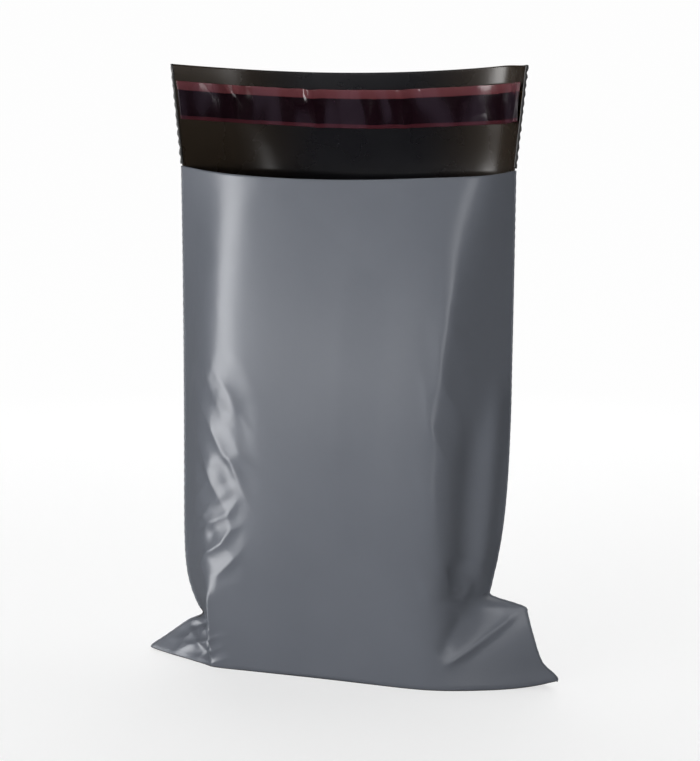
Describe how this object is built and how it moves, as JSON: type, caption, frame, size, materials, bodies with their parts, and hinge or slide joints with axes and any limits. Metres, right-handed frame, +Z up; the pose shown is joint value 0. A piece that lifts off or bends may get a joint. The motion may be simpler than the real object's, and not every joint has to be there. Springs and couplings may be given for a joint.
{
  "type": "polythene mail sack with peel-and-seal lip",
  "caption": "Open-mouthed polythene mail sack standing filled on a squared base, with a folding closing lip that carries a glue band under a peel-off liner.",
  "frame": {"origin": "middle of the base, on the ground", "axes": "+Z up, front panel faces -Y, closing lip stands on the back (+Y) edge of the mouth, +X towards the right weld as seen from the front"},
  "size_m": [0.1654, 0.07, 0.235],
  "materials": {
    "grey_film": "smooth co-extruded polythene film, soft sheen",
    "black_film": "smooth polythene film, slightly glossy",
    "weld": "melted and trimmed edge, finely serrated",
    "glue": "wet-looking hot-melt glue",
    "red_liner": "thin siliconed release film, glossy"
  },
  "bodies": {
    "sack": {"front_panel_grey_layer": "grey_film", "front_panel_black_layer": "black_film", "back_panel_grey_layer": "grey_film", "back_panel_black_layer": "black_film", "base_panel_grey_layer": "grey_film", "base_panel_black_layer": "black_film", "left_side_weld": "weld", "right_side_weld": "weld"},
    "lip": {"lip_grey_layer": "grey_film", "lip_black_layer": "black_film", "glue_band": "glue", "left_lip_edge_bead": "weld", "right_lip_edge_bead": "weld"},
    "liner": {"peel_liner": "red_liner"}
  },
  "joints": [
    {"name": "lip_fold", "type": "hinge", "parent": "sack", "child": "lip", "pos_m": [0, -0.0092, 0.19525], "axis": [1, 0, 0], "range_deg": [0, 160]},
    {"name": "liner_peel", "type": "hinge", "parent": "lip", "child": "liner", "pos_m": [0.06827, -0.00825, 0.221], "axis": [0, 0, 1], "range_deg": [0, 170]}
  ]
}
